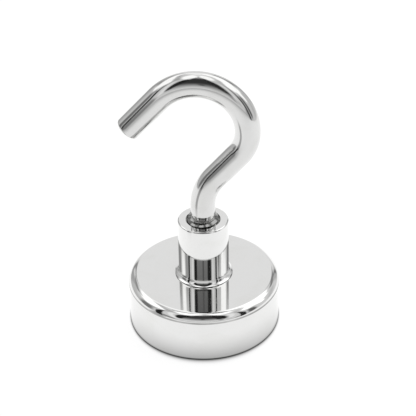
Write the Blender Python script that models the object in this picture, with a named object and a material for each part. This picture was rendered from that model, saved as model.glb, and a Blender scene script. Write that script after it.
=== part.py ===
"""Magnetic hook: a steel pot magnet with a screwed-in, bent-wire hook.

The magnet's working face lies in the plane z = 0 and the pot's axis is +Z.
The hook's wire is bent in the plane y = 0 and its mouth opens towards -X.
All sizes are in metres.
"""

import math

import bmesh
import bpy
from mathutils import Vector

# Pot: a pressed steel cup that holds the magnet, open side down
POT_RADIUS = 0.0100
POT_HEIGHT = 0.0068
POT_WALL = 0.0014
POT_ROOF = 0.0020
POT_SHOULDER_RADIUS = 0.00115
POT_RIM_RADIUS = 0.00018
POT_INNER_CORNER = 0.0003
POT_INNER_RIM_CHAMFER = 0.0002

# Magnet disc and the epoxy that holds it
MAGNET_CHAMFER = 0.0002
EPOXY_RING_WIDTH = 0.0006
EPOXY_BACK_FILM = 0.00015
EPOXY_RIM_DEPTH = 0.0002

# Thread shared by the boss and the hook's shank, right-handed
THREAD_MAJOR_RADIUS = 0.0020
THREAD_PITCH = 0.0007
THREAD_CLEARANCE = 0.00006
THREAD_ENTRY_CHAMFER = 0.0003
# Depth of a metric thread as a share of its pitch
THREAD_DEPTH_SHARE = 0.625 * math.sqrt(0.75)
# One pitch of the thread form: root flat, flank, crest flat, flank
THREAD_STATION_SHARES = (0.0, 0.25, 0.5625, 0.6875)
THREAD_DEPTH_SHARES = (0.0, 0.0, 1.0, 1.0)

# Threaded boss, staked through the pot's roof; its walls are outside the thread's crests
BOSS_HEIGHT = 0.0082
BOSS_WALL = 0.0013
BOSS_FOOT_WIDTH = 0.0005
BOSS_FOOT_FILLET = 0.0008
BOSS_FOOT_LIP = 0.00005
BOSS_TOP_RADIUS = 0.0002
BOSS_MOUTH_RELIEF = 0.00025
BOSS_FLOOR = 0.0006
SPIGOT_WALL = 0.0007
SPIGOT_FLARE = 0.0005

# Hook wire, from its shoulder above the boss to its cut end
WIRE_RADIUS = 0.0016
WIRE_SHOULDER_RISE = 0.0009
WIRE_SHOULDER_RADIUS = 0.00015
WIRE_END_RADIUS = 0.0004
STEM_LENGTH = 0.00125
STEM_BEND_RADIUS = 0.0063
STEM_BEND_ANGLE = math.radians(41.0)
REACH_LENGTH = 0.00442
ELBOW_RADIUS = 0.0048
ELBOW_ANGLE = math.radians(38.5)
BOWL_RADIUS = 0.00623
BOWL_ANGLE = math.radians(139.5)
TAIL_LENGTH = 0.0060

# Neck between the shoulder and the thread, and the plain point below it,
# each undercut from the thread's crests
NECK_UNDERCUT = 0.0005
NECK_LENGTH = 0.0003
NECK_ROOT = 0.0006
THREAD_RUNOUT = 0.00025
POINT_UNDERCUT = 0.0006
POINT_LENGTH = 0.0008
POINT_CHAMFER = 0.0003

# Gap left between two pieces that touch on the real hook
SEAT_GAP = 0.00005
# How far a cutting shape runs past what it cuts
CUT_OVERRUN = 0.0010

# Fineness of round shapes
POT_SIDES = 72
BOSS_SIDES = 40
THREAD_SIDES = 20
WIRE_SIDES = 24
SHOULDER_STEPS = 6
FILLET_STEPS = 6
EDGE_STEPS = 3
BEND_STEP = math.radians(8.0)
SMOOTH_ANGLE = math.radians(32.0)
MERGE_DISTANCE = 0.0000001

# Radii and heights that follow from the sizes above
POT_INNER_RADIUS = POT_RADIUS - POT_WALL
MAGNET_RADIUS = POT_INNER_RADIUS - EPOXY_RING_WIDTH
BOSS_RADIUS = THREAD_MAJOR_RADIUS + BOSS_WALL
BOSS_MOUTH_RADIUS = THREAD_MAJOR_RADIUS + BOSS_MOUTH_RELIEF
SPIGOT_RADIUS = THREAD_MAJOR_RADIUS + SPIGOT_WALL
NECK_RADIUS = THREAD_MAJOR_RADIUS - NECK_UNDERCUT
POINT_RADIUS = THREAD_MAJOR_RADIUS - POINT_UNDERCUT
THREAD_DEPTH = THREAD_PITCH * THREAD_DEPTH_SHARE
ROOF_UNDERSIDE = POT_HEIGHT - POT_ROOF
MAGNET_TOP = ROOF_UNDERSIDE - EPOXY_BACK_FILM - 2.0 * SEAT_GAP
SPIGOT_BOTTOM = ROOF_UNDERSIDE + SEAT_GAP
BORE_BOTTOM = SPIGOT_BOTTOM + BOSS_FLOOR
POINT_BOTTOM = BORE_BOTTOM + SEAT_GAP
THREAD_BOTTOM = POINT_BOTTOM + POINT_LENGTH + SEAT_GAP
BOSS_TOP = POT_HEIGHT + BOSS_HEIGHT
# How steep the foot's hollow has become where it meets the lip
BOSS_FOOT_ANGLE = math.acos(1.0 - BOSS_FOOT_WIDTH / BOSS_FOOT_FILLET)
WIRE_SHOULDER_HEIGHT = BOSS_TOP + WIRE_SHOULDER_RISE


def clear_scene():
    """Remove every object, so that the script can be run again."""
    for thing in list(bpy.data.objects):
        bpy.data.objects.remove(thing, do_unlink=True)


def finish(name, colour, metallic, roughness):
    """One Principled material."""
    material = bpy.data.materials.new(name)
    material.use_nodes = True
    shader = material.node_tree.nodes["Principled BSDF"]
    shader.inputs["Base Color"].default_value = (*colour, 1.0)
    shader.inputs["Metallic"].default_value = metallic
    shader.inputs["Roughness"].default_value = roughness
    return material


def place(name, mesh_data, material=None):
    """Turn edited mesh data into a smooth-shaded object."""
    bmesh.ops.recalc_face_normals(mesh_data, faces=mesh_data.faces)
    mesh = bpy.data.meshes.new(name)
    mesh_data.to_mesh(mesh)
    mesh_data.free()
    mesh.shade_smooth()
    mesh.set_sharp_from_angle(angle=SMOOTH_ANGLE)
    thing = bpy.data.objects.new(name, mesh)
    bpy.context.scene.collection.objects.link(thing)
    if material:
        mesh.materials.append(material)
    return thing


def arc(centre, radius, start, end, steps):
    """Points of a round edge in the (radius, height) plane, both ends included."""
    points = []
    for step in range(steps + 1):
        angle = start + (end - start) * step / steps
        across = centre[0] + radius * math.cos(angle)
        up = centre[1] + radius * math.sin(angle)
        points.append((across, up))
    return points


def turned(name, profile, sides, material=None):
    """A solid of revolution about Z from a closed outline of (radius, height)."""
    data = bmesh.new()
    corners = [data.verts.new((across, 0.0, up)) for across, up in profile]
    edges = [data.edges.new((a, b)) for a, b in zip(corners, corners[1:])]
    if profile[0][0] > 0.0 or profile[-1][0] > 0.0:
        edges.append(data.edges.new((corners[-1], corners[0])))
    bmesh.ops.spin(
        data,
        geom=corners + edges,
        cent=(0.0, 0.0, 0.0),
        axis=(0.0, 0.0, 1.0),
        angle=math.tau,
        steps=sides,
        use_merge=True,
    )
    bmesh.ops.remove_doubles(data, verts=data.verts, dist=MERGE_DISTANCE)
    return place(name, data, material)


def cut_flat(data, height, keep_above):
    """Cut a skin at a height, drop one side and cap the cut."""
    geometry = list(data.verts) + list(data.edges) + list(data.faces)
    result = bmesh.ops.bisect_plane(
        data,
        geom=geometry,
        dist=MERGE_DISTANCE,
        plane_co=(0.0, 0.0, height),
        plane_no=(0.0, 0.0, 1.0),
        clear_inner=keep_above,
        clear_outer=not keep_above,
    )
    rim = [item for item in result["geom_cut"] if isinstance(item, bmesh.types.BMEdge)]
    bmesh.ops.edgenet_fill(data, edges=rim)


def threaded(name, major, low, high, low_limit, high_limit):
    """A right-handed threaded rod, its crests held inside two cones.

    Each limit is a pair (radius at the end, length over which it opens out).
    Turns are counted from z = 0, so that the shank and the bore are in mesh.
    """
    data = bmesh.new()
    first_turn = math.floor(low / THREAD_PITCH) - 2
    turns = math.ceil(high / THREAD_PITCH) + 2 - first_turn
    rows = []
    for step in range(turns * THREAD_SIDES + 1):
        angle = math.tau * step / THREAD_SIDES
        start = THREAD_PITCH * (first_turn + step / THREAD_SIDES)
        row = []
        for station, depth in zip(THREAD_STATION_SHARES, THREAD_DEPTH_SHARES):
            height = start + THREAD_PITCH * station
            radius = major - THREAD_DEPTH * (1.0 - depth)
            from_low = low_limit[0] + (major - low_limit[0]) * (height - low) / low_limit[1]
            from_high = high_limit[0] + (major - high_limit[0]) * (high - height) / high_limit[1]
            radius = min(radius, max(from_low, low_limit[0]), max(from_high, high_limit[0]))
            spot = (radius * math.cos(angle), radius * math.sin(angle), height)
            row.append(data.verts.new(spot))
        rows.append(row)
    for step in range(len(rows) - 1):
        near = list(rows[step])
        far = list(rows[step + 1])
        if step + 1 + THREAD_SIDES < len(rows):
            near.append(rows[step + THREAD_SIDES][0])
            far.append(rows[step + 1 + THREAD_SIDES][0])
        for index in range(len(near) - 1):
            data.faces.new((near[index], far[index], far[index + 1], near[index + 1]))
    cut_flat(data, low, keep_above=True)
    cut_flat(data, high, keep_above=False)
    return place(name, data)


def boolean(thing, operation, tool):
    """Cut or join a helper shape, which stays hidden."""
    tool.hide_render = True
    tool.display_type = "WIRE"
    change = thing.modifiers.new(operation.lower() + "_" + tool.name, "BOOLEAN")
    change.operation = operation
    change.solver = "EXACT"
    change.object = tool


def make_pot(material):
    """The cup: plain side, rounded shoulder, staking hole in its roof."""
    top = POT_HEIGHT
    hole = SPIGOT_RADIUS + SEAT_GAP
    flare = SPIGOT_FLARE + SEAT_GAP
    rim = (POT_RADIUS - POT_RIM_RADIUS, POT_RIM_RADIUS)
    shoulder = (POT_RADIUS - POT_SHOULDER_RADIUS, top - POT_SHOULDER_RADIUS)
    profile = arc(rim, POT_RIM_RADIUS, -math.pi / 2.0, 0.0, EDGE_STEPS)
    profile += arc(shoulder, POT_SHOULDER_RADIUS, 0.0, math.pi / 2.0, SHOULDER_STEPS)
    profile.append((hole, top))
    profile.append((hole, ROOF_UNDERSIDE + flare))
    profile.append((hole + flare, ROOF_UNDERSIDE))
    profile.append((POT_INNER_RADIUS - POT_INNER_CORNER, ROOF_UNDERSIDE))
    profile.append((POT_INNER_RADIUS, ROOF_UNDERSIDE - POT_INNER_CORNER))
    profile.append((POT_INNER_RADIUS, POT_INNER_RIM_CHAMFER))
    profile.append((POT_INNER_RADIUS + POT_INNER_RIM_CHAMFER, 0.0))
    return turned("magnet_pot", profile, POT_SIDES, material)


def make_magnet(material):
    """The disc magnet, its working face flush with the pot's rim."""
    profile = [
        (0.0, 0.0),
        (MAGNET_RADIUS - MAGNET_CHAMFER, 0.0),
        (MAGNET_RADIUS, MAGNET_CHAMFER),
        (MAGNET_RADIUS, MAGNET_TOP - MAGNET_CHAMFER),
        (MAGNET_RADIUS - MAGNET_CHAMFER, MAGNET_TOP),
        (0.0, MAGNET_TOP),
    ]
    return turned("disc_magnet", profile, POT_SIDES, material)


def make_epoxy(material):
    """The epoxy: a film behind the magnet and a ring around it, in one pour."""
    inner = MAGNET_RADIUS + SEAT_GAP
    outer = POT_INNER_RADIUS - SEAT_GAP
    film_bottom = MAGNET_TOP + SEAT_GAP
    film_top = ROOF_UNDERSIDE - SEAT_GAP
    profile = [
        (0.0, film_bottom),
        (inner, film_bottom),
        (inner, EPOXY_RIM_DEPTH),
        (outer, EPOXY_RIM_DEPTH),
        (outer, film_top - POT_INNER_CORNER),
        (outer - POT_INNER_CORNER, film_top),
        (0.0, film_top),
    ]
    return turned("epoxy_bed", profile, POT_SIDES, material)


def make_boss(material):
    """The boss: flared foot, round edge, countersunk mouth and a blind tapped hole."""
    foot = POT_HEIGHT + SEAT_GAP
    waist = foot + BOSS_FOOT_LIP + BOSS_FOOT_FILLET * math.sin(BOSS_FOOT_ANGLE)
    foot_centre = (BOSS_RADIUS + BOSS_FOOT_FILLET, waist)
    edge_centre = (BOSS_RADIUS - BOSS_TOP_RADIUS, BOSS_TOP - BOSS_TOP_RADIUS)
    profile = [
        (0.0, SPIGOT_BOTTOM),
        (SPIGOT_RADIUS + SPIGOT_FLARE, SPIGOT_BOTTOM),
        (SPIGOT_RADIUS, SPIGOT_BOTTOM + SPIGOT_FLARE),
        (SPIGOT_RADIUS, foot),
        (BOSS_RADIUS + BOSS_FOOT_WIDTH, foot),
    ]
    profile += arc(foot_centre, BOSS_FOOT_FILLET, BOSS_FOOT_ANGLE - math.pi, -math.pi, FILLET_STEPS)
    profile += arc(edge_centre, BOSS_TOP_RADIUS, 0.0, math.pi / 2.0, EDGE_STEPS)
    profile.append((0.0, BOSS_TOP))
    boss = turned("threaded_boss", profile, BOSS_SIDES, material)

    bore_radius = THREAD_MAJOR_RADIUS + THREAD_CLEARANCE
    open_end = (bore_radius, THREAD_ENTRY_CHAMFER)
    bore = threaded("bore_cutter", bore_radius, BORE_BOTTOM, BOSS_TOP + CUT_OVERRUN, open_end, open_end)
    boolean(boss, "DIFFERENCE", bore)

    mouth_profile = [
        (0.0, BOSS_TOP - BOSS_MOUTH_RADIUS),
        (BOSS_MOUTH_RADIUS + CUT_OVERRUN, BOSS_TOP + CUT_OVERRUN),
        (0.0, BOSS_TOP + CUT_OVERRUN),
    ]
    mouth = turned("mouth_cutter", mouth_profile, BOSS_SIDES)
    boolean(boss, "DIFFERENCE", mouth)
    return boss


def wire_route():
    """Stations along the wire: where its middle is and which way it runs.

    Each run is (bend radius or None, length or angle); a positive angle turns
    the wire towards +X, a negative one back over the bowl towards -X.
    """
    runs = (
        (None, STEM_LENGTH),
        (STEM_BEND_RADIUS, STEM_BEND_ANGLE),
        (None, REACH_LENGTH),
        (ELBOW_RADIUS, -ELBOW_ANGLE),
        (BOWL_RADIUS, -BOWL_ANGLE),
        (None, TAIL_LENGTH),
    )
    spot = Vector((0.0, 0.0, WIRE_SHOULDER_HEIGHT))
    heading = 0.0
    stations = [(spot.copy(), heading)]
    for radius, amount in runs:
        if radius is None:
            spot = spot + amount * Vector((math.sin(heading), 0.0, math.cos(heading)))
            stations.append((spot.copy(), heading))
            continue
        steps = math.ceil(abs(amount) / BEND_STEP)
        side = math.copysign(radius, amount)
        middle = spot + side * Vector((math.cos(heading), 0.0, -math.sin(heading)))
        for step in range(1, steps + 1):
            turn = heading + amount * step / steps
            spot = middle - side * Vector((math.cos(turn), 0.0, -math.sin(turn)))
            stations.append((spot.copy(), turn))
        heading += amount
    return stations


def wire_rings():
    """The route with its two ends rounded: middle, heading and radius of each ring."""
    stations = wire_route()
    rings = []
    spot, heading = stations[0]
    along = Vector((math.sin(heading), 0.0, math.cos(heading)))
    for step in range(EDGE_STEPS + 1):
        angle = math.pi / 2.0 * step / EDGE_STEPS
        rise = WIRE_SHOULDER_RADIUS * (1.0 - math.cos(angle))
        radius = WIRE_RADIUS - WIRE_SHOULDER_RADIUS * (1.0 - math.sin(angle))
        rings.append((spot + rise * along, heading, radius))
    for spot, heading in stations[1:-1]:
        rings.append((spot, heading, WIRE_RADIUS))
    spot, heading = stations[-1]
    along = Vector((math.sin(heading), 0.0, math.cos(heading)))
    for step in range(EDGE_STEPS + 1):
        angle = math.pi / 2.0 * step / EDGE_STEPS
        back = WIRE_END_RADIUS * (1.0 - math.sin(angle))
        radius = WIRE_RADIUS - WIRE_END_RADIUS * (1.0 - math.cos(angle))
        rings.append((spot - back * along, heading, radius))
    return rings


def make_hook(material):
    """The bent wire with its rolled thread."""
    data = bmesh.new()
    loops = []
    for spot, heading, radius in wire_rings():
        outward = Vector((math.cos(heading), 0.0, -math.sin(heading)))
        sideways = Vector((0.0, 1.0, 0.0))
        loop = []
        for side in range(WIRE_SIDES):
            angle = math.tau * side / WIRE_SIDES
            offset = outward * math.cos(angle) + sideways * math.sin(angle)
            loop.append(data.verts.new(spot + radius * offset))
        loops.append(loop)
    for near, far in zip(loops, loops[1:]):
        for side in range(WIRE_SIDES):
            following = (side + 1) % WIRE_SIDES
            data.faces.new((near[side], near[following], far[following], far[side]))
    data.faces.new(loops[0])
    data.faces.new(loops[-1])
    hook = place("hook", data, material)

    neck_low = WIRE_SHOULDER_HEIGHT - NECK_LENGTH
    shank_high = WIRE_SHOULDER_HEIGHT + NECK_ROOT
    entry_radius = THREAD_MAJOR_RADIUS - THREAD_DEPTH
    shank = threaded(
        "shank_helper",
        THREAD_MAJOR_RADIUS,
        THREAD_BOTTOM,
        neck_low,
        (entry_radius, THREAD_ENTRY_CHAMFER),
        (NECK_RADIUS, THREAD_RUNOUT),
    )
    neck_profile = [
        (0.0, neck_low - CUT_OVERRUN),
        (NECK_RADIUS - SEAT_GAP, neck_low - CUT_OVERRUN),
        (NECK_RADIUS - SEAT_GAP, shank_high),
        (0.0, shank_high),
    ]
    neck = turned("neck_helper", neck_profile, THREAD_SIDES)
    boolean(hook, "UNION", neck)
    boolean(hook, "UNION", shank)
    return hook


def make_point(material):
    """The plain point of the shank, below its thread."""
    top = THREAD_BOTTOM - SEAT_GAP
    profile = [
        (0.0, POINT_BOTTOM),
        (POINT_RADIUS - POINT_CHAMFER, POINT_BOTTOM),
        (POINT_RADIUS, POINT_BOTTOM + POINT_CHAMFER),
        (POINT_RADIUS, top),
        (0.0, top),
    ]
    return turned("shank_point", profile, THREAD_SIDES, material)


def main():
    """Build the six pieces and hang the moving ones on the thread's axis."""
    clear_scene()
    plate = finish("nickel_plate", (0.80, 0.80, 0.79), 1.0, 0.08)
    disc = finish("magnet_plate", (0.66, 0.66, 0.65), 1.0, 0.22)
    resin = finish("epoxy", (0.05, 0.05, 0.055), 0.0, 0.4)
    make_pot(plate)
    make_magnet(disc)
    make_epoxy(resin)
    make_boss(plate)
    axis = bpy.data.objects.new("screw_axis", None)
    bpy.context.scene.collection.objects.link(axis)
    for piece in (make_hook(plate), make_point(plate)):
        piece.parent = axis


main()
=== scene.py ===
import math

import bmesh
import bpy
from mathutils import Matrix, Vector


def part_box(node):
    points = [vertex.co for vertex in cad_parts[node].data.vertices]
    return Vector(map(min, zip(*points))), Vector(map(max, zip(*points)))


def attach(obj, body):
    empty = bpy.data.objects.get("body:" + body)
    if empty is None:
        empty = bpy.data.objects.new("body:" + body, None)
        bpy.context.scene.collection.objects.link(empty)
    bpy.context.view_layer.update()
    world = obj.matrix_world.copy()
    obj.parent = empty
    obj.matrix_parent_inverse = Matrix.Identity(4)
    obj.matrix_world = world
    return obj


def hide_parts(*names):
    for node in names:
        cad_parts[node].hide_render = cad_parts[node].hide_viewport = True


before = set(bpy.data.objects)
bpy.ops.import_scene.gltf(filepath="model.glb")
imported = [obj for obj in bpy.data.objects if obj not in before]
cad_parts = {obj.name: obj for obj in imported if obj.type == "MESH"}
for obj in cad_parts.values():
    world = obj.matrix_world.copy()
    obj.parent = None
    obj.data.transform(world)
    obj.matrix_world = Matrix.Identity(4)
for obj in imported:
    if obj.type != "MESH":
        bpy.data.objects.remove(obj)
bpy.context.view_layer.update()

# %% [markdown]
# # A pot magnet with a screw-in hook
#
# The object is a steel pot 20 mm across with a magnet inside it, a threaded boss on its roof
# and a hook bent from 3.2 mm wire that screws into the boss. Everything that shows is bright
# nickel plate, so most of what the eye reads as its shape is reflection: smooth, true surfaces
# and a well-placed studio matter more here than colour.
#
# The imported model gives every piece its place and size. It is faceted, which a mirror finish
# shows at once, so each piece is modelled again here with fine, even facets in the same place,
# and rides on the same body.

MM = 0.001
PIECE_GAP = 0.05 * MM  # kept between pieces that touch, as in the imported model
pot_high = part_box("magnet_pot")[1]
boss_low, boss_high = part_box("threaded_boss")
disc_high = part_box("disc_magnet")[1]
epoxy_low, epoxy_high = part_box("epoxy_bed")
tip_low, tip_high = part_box("shank_point")

POT_RADIUS = pot_high.x
POT_HEIGHT = pot_high.z
BOSS_FOOT = POT_HEIGHT + PIECE_GAP
BOSS_TOP = boss_high.z
print("pot", round(2 * POT_RADIUS / MM, 2), "mm across and", round(POT_HEIGHT / MM, 2), "mm high")
print("boss top at", round(BOSS_TOP / MM, 2), "mm")

# %% [markdown]
# ## Camera
#
# The photograph looks down on the hook from about 33 degrees, from close by, with the pot's
# far rim clearly smaller than its near one. A camera can be placed by eye, but the pot's rim,
# its roof and the boss are circles of known size, so their outlines settle the height, the
# distance and the lens together. The picture is also turned by three quarters of a degree.

# %% Camera
CAMERA_BEARING = math.radians(4.5)
CAMERA_PLACE = (0.65 * MM, -114.63 * MM, 89.89 * MM)
CAMERA_PITCH = math.radians(57.426)
CAMERA_ROLL = math.radians(-0.7745)
CAMERA_LENS = 92.29
CAMERA_SENSOR = 36.0

camera_data = bpy.data.cameras.new("camera")
camera_data.lens = CAMERA_LENS
camera_data.sensor_width = CAMERA_SENSOR
camera_data.clip_start = 5.0 * MM
camera = bpy.data.objects.new("camera", camera_data)
bpy.context.scene.collection.objects.link(camera)
orbit = Matrix.Rotation(CAMERA_BEARING, 4, "Z")
turn = Matrix.Rotation(CAMERA_PITCH, 4, "X") @ Matrix.Rotation(CAMERA_ROLL, 4, "Z")
camera.matrix_world = orbit @ Matrix.Translation(CAMERA_PLACE) @ turn
bpy.context.scene.camera = camera
bpy.context.scene.view_settings.view_transform = "Standard"
print("camera", round(Vector(CAMERA_PLACE).length / MM), "mm from the pot's foot")

# %% [markdown]
# ## Helpers for modelling by hand
#
# Every piece below starts as a primitive and is shaped in edit mode. A few small helpers keep
# that short. One starts a primitive with nothing else selected and enters edit mode. Another
# picks faces, edges or points by a test on their place, as a person would click on them. The
# last one closes the finished piece, shades it and hangs it on its body.

# %% Start and pick
NEAR = 0.002 * MM  # how far off its place a point may be and still be picked


def clear_selection():
    """Deselect every object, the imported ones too."""
    bpy.ops.object.select_all(action="DESELECT")


def start(name, add, **how):
    """Add a primitive with everything else deselected, and go into edit mode."""
    clear_selection()
    add(enter_editmode=False, **how)
    piece = bpy.context.object
    piece.name = name
    piece.data.name = name
    bpy.ops.object.transform_apply(location=True, rotation=True, scale=True)
    bpy.ops.object.mode_set(mode="EDIT")
    bpy.ops.mesh.select_all(action="DESELECT")
    return piece


def pick(piece, kind, test):
    """Select the faces, edges or points of a piece whose every corner passes a test."""
    bpy.ops.mesh.select_mode(type=kind)
    bpy.ops.mesh.select_all(action="DESELECT")
    data = bmesh.from_edit_mesh(piece.data)
    items = {"FACE": data.faces, "EDGE": data.edges, "VERT": data.verts}[kind]
    found = 0
    for item in items:
        corners = [item] if kind == "VERT" else item.verts
        if all(test(corner.co) for corner in corners):
            item.select_set(True)
            found += 1
    bmesh.update_edit_mesh(piece.data)
    return found


def at_height(height):
    """A test for points at one height."""
    return lambda place: abs(place.z - height) < NEAR


def on_ring(radius, height):
    """A test for points on a circle around the axis, at one height."""
    return lambda place: (
        abs(place.z - height) < NEAR and abs(math.hypot(place.x, place.y) - radius) < NEAR
    )


# %% Lift, widen, round and settle
CLOSE = 0.00001 * MM  # how near a cut's plane a point must be to be taken as on it
MERGE = 0.0002 * MM  # how near two points are when they are one
CRISP_ANGLE = math.radians(28.0)  # edges that turn more than this stay crisp


def lift(amount):
    """Extrude what is selected along the axis."""
    bpy.ops.mesh.extrude_region_move(TRANSFORM_OT_translate={"value": (0.0, 0.0, amount)})


def widen(share, height):
    """Scale what is selected about the axis."""
    bpy.ops.transform.resize(value=(share, share, 1.0), center_override=(0.0, 0.0, height))


def round_ring(piece, radius, height, size, steps):
    """Round the edge that runs round the axis at one radius and height."""
    found = pick(piece, "EDGE", on_ring(radius, height))
    bpy.ops.mesh.bevel(offset=size, offset_type="OFFSET", segments=steps, profile=0.5, affect="EDGES")
    return found


def cut_rings(heights):
    """Add rings round a straight wall, which hold its shading straight."""
    for height in heights:
        bpy.ops.mesh.select_all(action="SELECT")
        bpy.ops.mesh.bisect(plane_co=(0.0, 0.0, height), plane_no=(0.0, 0.0, 1.0), threshold=CLOSE)


def settle(piece, node, body, material):
    """Leave edit mode, close and shade the piece, and hang it on its body."""
    bpy.ops.mesh.select_mode(type="VERT")
    bpy.ops.mesh.select_all(action="SELECT")
    bpy.ops.mesh.remove_doubles(threshold=MERGE)
    bpy.ops.mesh.normals_make_consistent(inside=False)
    bpy.ops.object.mode_set(mode="OBJECT")
    clear_selection()
    piece.select_set(True)
    bpy.context.view_layer.objects.active = piece
    bpy.ops.object.shade_smooth_by_angle(angle=CRISP_ANGLE)
    piece.data.materials.clear()
    piece.data.materials.append(material)
    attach(piece, body)
    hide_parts(node)
    data = bmesh.new()
    data.from_mesh(piece.data)
    loose = sum(1 for edge in data.edges if len(edge.link_faces) != 2)
    triangles = sum(len(face.verts) - 2 for face in data.faces)
    volume = data.calc_volume(signed=True) / MM**3
    data.free()
    print(piece.name, triangles, "triangles,", round(volume, 1), "mm3,", loose, "open edges")


# %% [markdown]
# ## Shader groups for plated metal
#
# Bright nickel isn't a perfect mirror. The plate copies the steel's faint waviness, handling
# leaves hair-fine scratches in every direction, and fingers and dust dull it in soft patches.
# Each of these is a group with named sockets, so the pot, the wire and the magnet can each
# have its own amount. All of it is far finer than a millimetre, as it is on the real plate.

# %% Short names for shader nodes
def new_group(name, inputs, outputs):
    """An empty shader group with named sockets. An input is (name, type, value)."""
    group = bpy.data.node_groups.new(name, "ShaderNodeTree")
    for label, kind, value in inputs:
        socket = group.interface.new_socket(label, in_out="INPUT", socket_type=kind)
        if value is not None:
            socket.default_value = value
    for label, kind in outputs:
        group.interface.new_socket(label, in_out="OUTPUT", socket_type=kind)
    return group, group.nodes.new("NodeGroupInput"), group.nodes.new("NodeGroupOutput")


def feed(tree, value, socket):
    """Link another node's output to a socket, or set a plain value on it."""
    if isinstance(value, bpy.types.NodeSocket):
        tree.links.new(value, socket)
    elif value is not None:
        socket.default_value = value


def math_node(tree, operation, first, second=None, third=None, clamp=False):
    """One math step. Each value is a number or another node's output."""
    node = tree.nodes.new("ShaderNodeMath")
    node.operation = operation
    node.use_clamp = clamp
    for socket, value in zip(node.inputs, (first, second, third)):
        feed(tree, value, socket)
    return node.outputs[0]


def vector_node(tree, operation, first, second=None, scale=None):
    """One vector step. The result is the vector, or the number that the step gives."""
    node = tree.nodes.new("ShaderNodeVectorMath")
    node.operation = operation
    for socket, value in zip(node.inputs, (first, second)):
        feed(tree, value, socket)
    if scale is not None:
        feed(tree, scale, node.inputs["Scale"])
    return node.outputs["Value" if operation in ("DOT_PRODUCT", "LENGTH") else "Vector"]


def split_place(tree, place):
    """A place's three numbers: across, back and up."""
    node = tree.nodes.new("ShaderNodeSeparateXYZ")
    tree.links.new(place, node.inputs[0])
    return node.outputs["X"], node.outputs["Y"], node.outputs["Z"]


def smooth_band(tree, value, low, high, bottom=0.0, top=1.0):
    """Turn a value smoothly from bottom to top as it goes from low to high."""
    node = tree.nodes.new("ShaderNodeMapRange")
    node.interpolation_type = "SMOOTHSTEP"
    tree.links.new(value, node.inputs["Value"])
    for label, amount in (("From Min", low), ("From Max", high), ("To Min", bottom), ("To Max", top)):
        feed(tree, amount, node.inputs[label])
    return node.outputs["Result"]


def noise(tree, place, scale, detail=2.0, roughness=0.5, distortion=0.0):
    """A noise pattern's value."""
    node = tree.nodes.new("ShaderNodeTexNoise")
    tree.links.new(place, node.inputs["Vector"])
    node.inputs["Scale"].default_value = scale
    node.inputs["Detail"].default_value = detail
    node.inputs["Roughness"].default_value = roughness
    node.inputs["Distortion"].default_value = distortion
    return node.outputs["Fac"]


# %% Group: fine scratches
SCRATCH_TURNS = ((0.3, 0.2, 0.5), (1.1, 0.7, 1.9), (2.3, 1.6, 2.8))
SCRATCH_STRETCH = (1.0, 0.02, 0.05)
HAIR_WIDTH = 0.012


def build_scratches():
    """Hair-fine scratches in three directions, each broken into short lengths."""
    group, given, result = new_group(
        "Fine scratches",
        [("Place", "NodeSocketVector", None), ("Fineness", "NodeSocketFloat", 900.0)],
        [("Scratches", "NodeSocketFloat")],
    )
    total = None
    for number, turn_about in enumerate(SCRATCH_TURNS):
        turned = group.nodes.new("ShaderNodeMapping")
        turned.inputs["Rotation"].default_value = turn_about
        turned.inputs["Scale"].default_value = SCRATCH_STRETCH
        group.links.new(given.outputs["Place"], turned.inputs["Vector"])
        scaled = vector_node(group, "SCALE", turned.outputs["Vector"], scale=given.outputs["Fineness"])
        line = noise(group, scaled, 6.0, detail=1.0)
        edge = math_node(group, "ABSOLUTE", math_node(group, "SUBTRACT", line, 0.5))
        hair = smooth_band(group, edge, 0.0, HAIR_WIDTH, 1.0, 0.0)
        patch = noise(group, given.outputs["Place"], 700.0 + 130.0 * number, detail=1.0)
        kept = math_node(group, "MULTIPLY", hair, smooth_band(group, patch, 0.56, 0.66))
        total = kept if total is None else math_node(group, "MAXIMUM", total, kept)
    group.links.new(total, result.inputs["Scratches"])
    return group


SCRATCHES = build_scratches()
print("group", SCRATCHES.name)

# %% Group: dulled patches and the plate's own skin
def build_dulling():
    """Soft patches where hands and dust have taken the edge off the shine."""
    group, given, result = new_group(
        "Dulled patches",
        [("Place", "NodeSocketVector", None), ("Size", "NodeSocketFloat", 260.0)],
        [("Dulling", "NodeSocketFloat")],
    )
    scaled = vector_node(group, "SCALE", given.outputs["Place"], scale=given.outputs["Size"])
    broad = smooth_band(group, noise(group, scaled, 1.0, detail=3.0, distortion=0.6), 0.42, 0.72)
    specks = smooth_band(group, noise(group, scaled, 11.0, detail=2.0), 0.66, 0.74)
    both = math_node(group, "MAXIMUM", broad, math_node(group, "MULTIPLY", specks, 0.7))
    group.links.new(both, result.inputs["Dulling"])
    return group


def build_skin():
    """The plate's faint waviness and orange peel, as a height from 0 to 1."""
    group, given, result = new_group(
        "Plated skin",
        [("Place", "NodeSocketVector", None), ("Waves", "NodeSocketFloat", 1.0)],
        [("Height", "NodeSocketFloat")],
    )
    broad = noise(group, given.outputs["Place"], 420.0, detail=1.0)
    peel = noise(group, given.outputs["Place"], 2600.0, detail=1.0)
    waves = math_node(group, "MULTIPLY", broad, given.outputs["Waves"])
    group.links.new(math_node(group, "MULTIPLY_ADD", peel, 0.08, waves), result.inputs["Height"])
    return group


DULLING = build_dulling()
SKIN = build_skin()
print("groups", DULLING.name, "and", SKIN.name)

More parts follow.
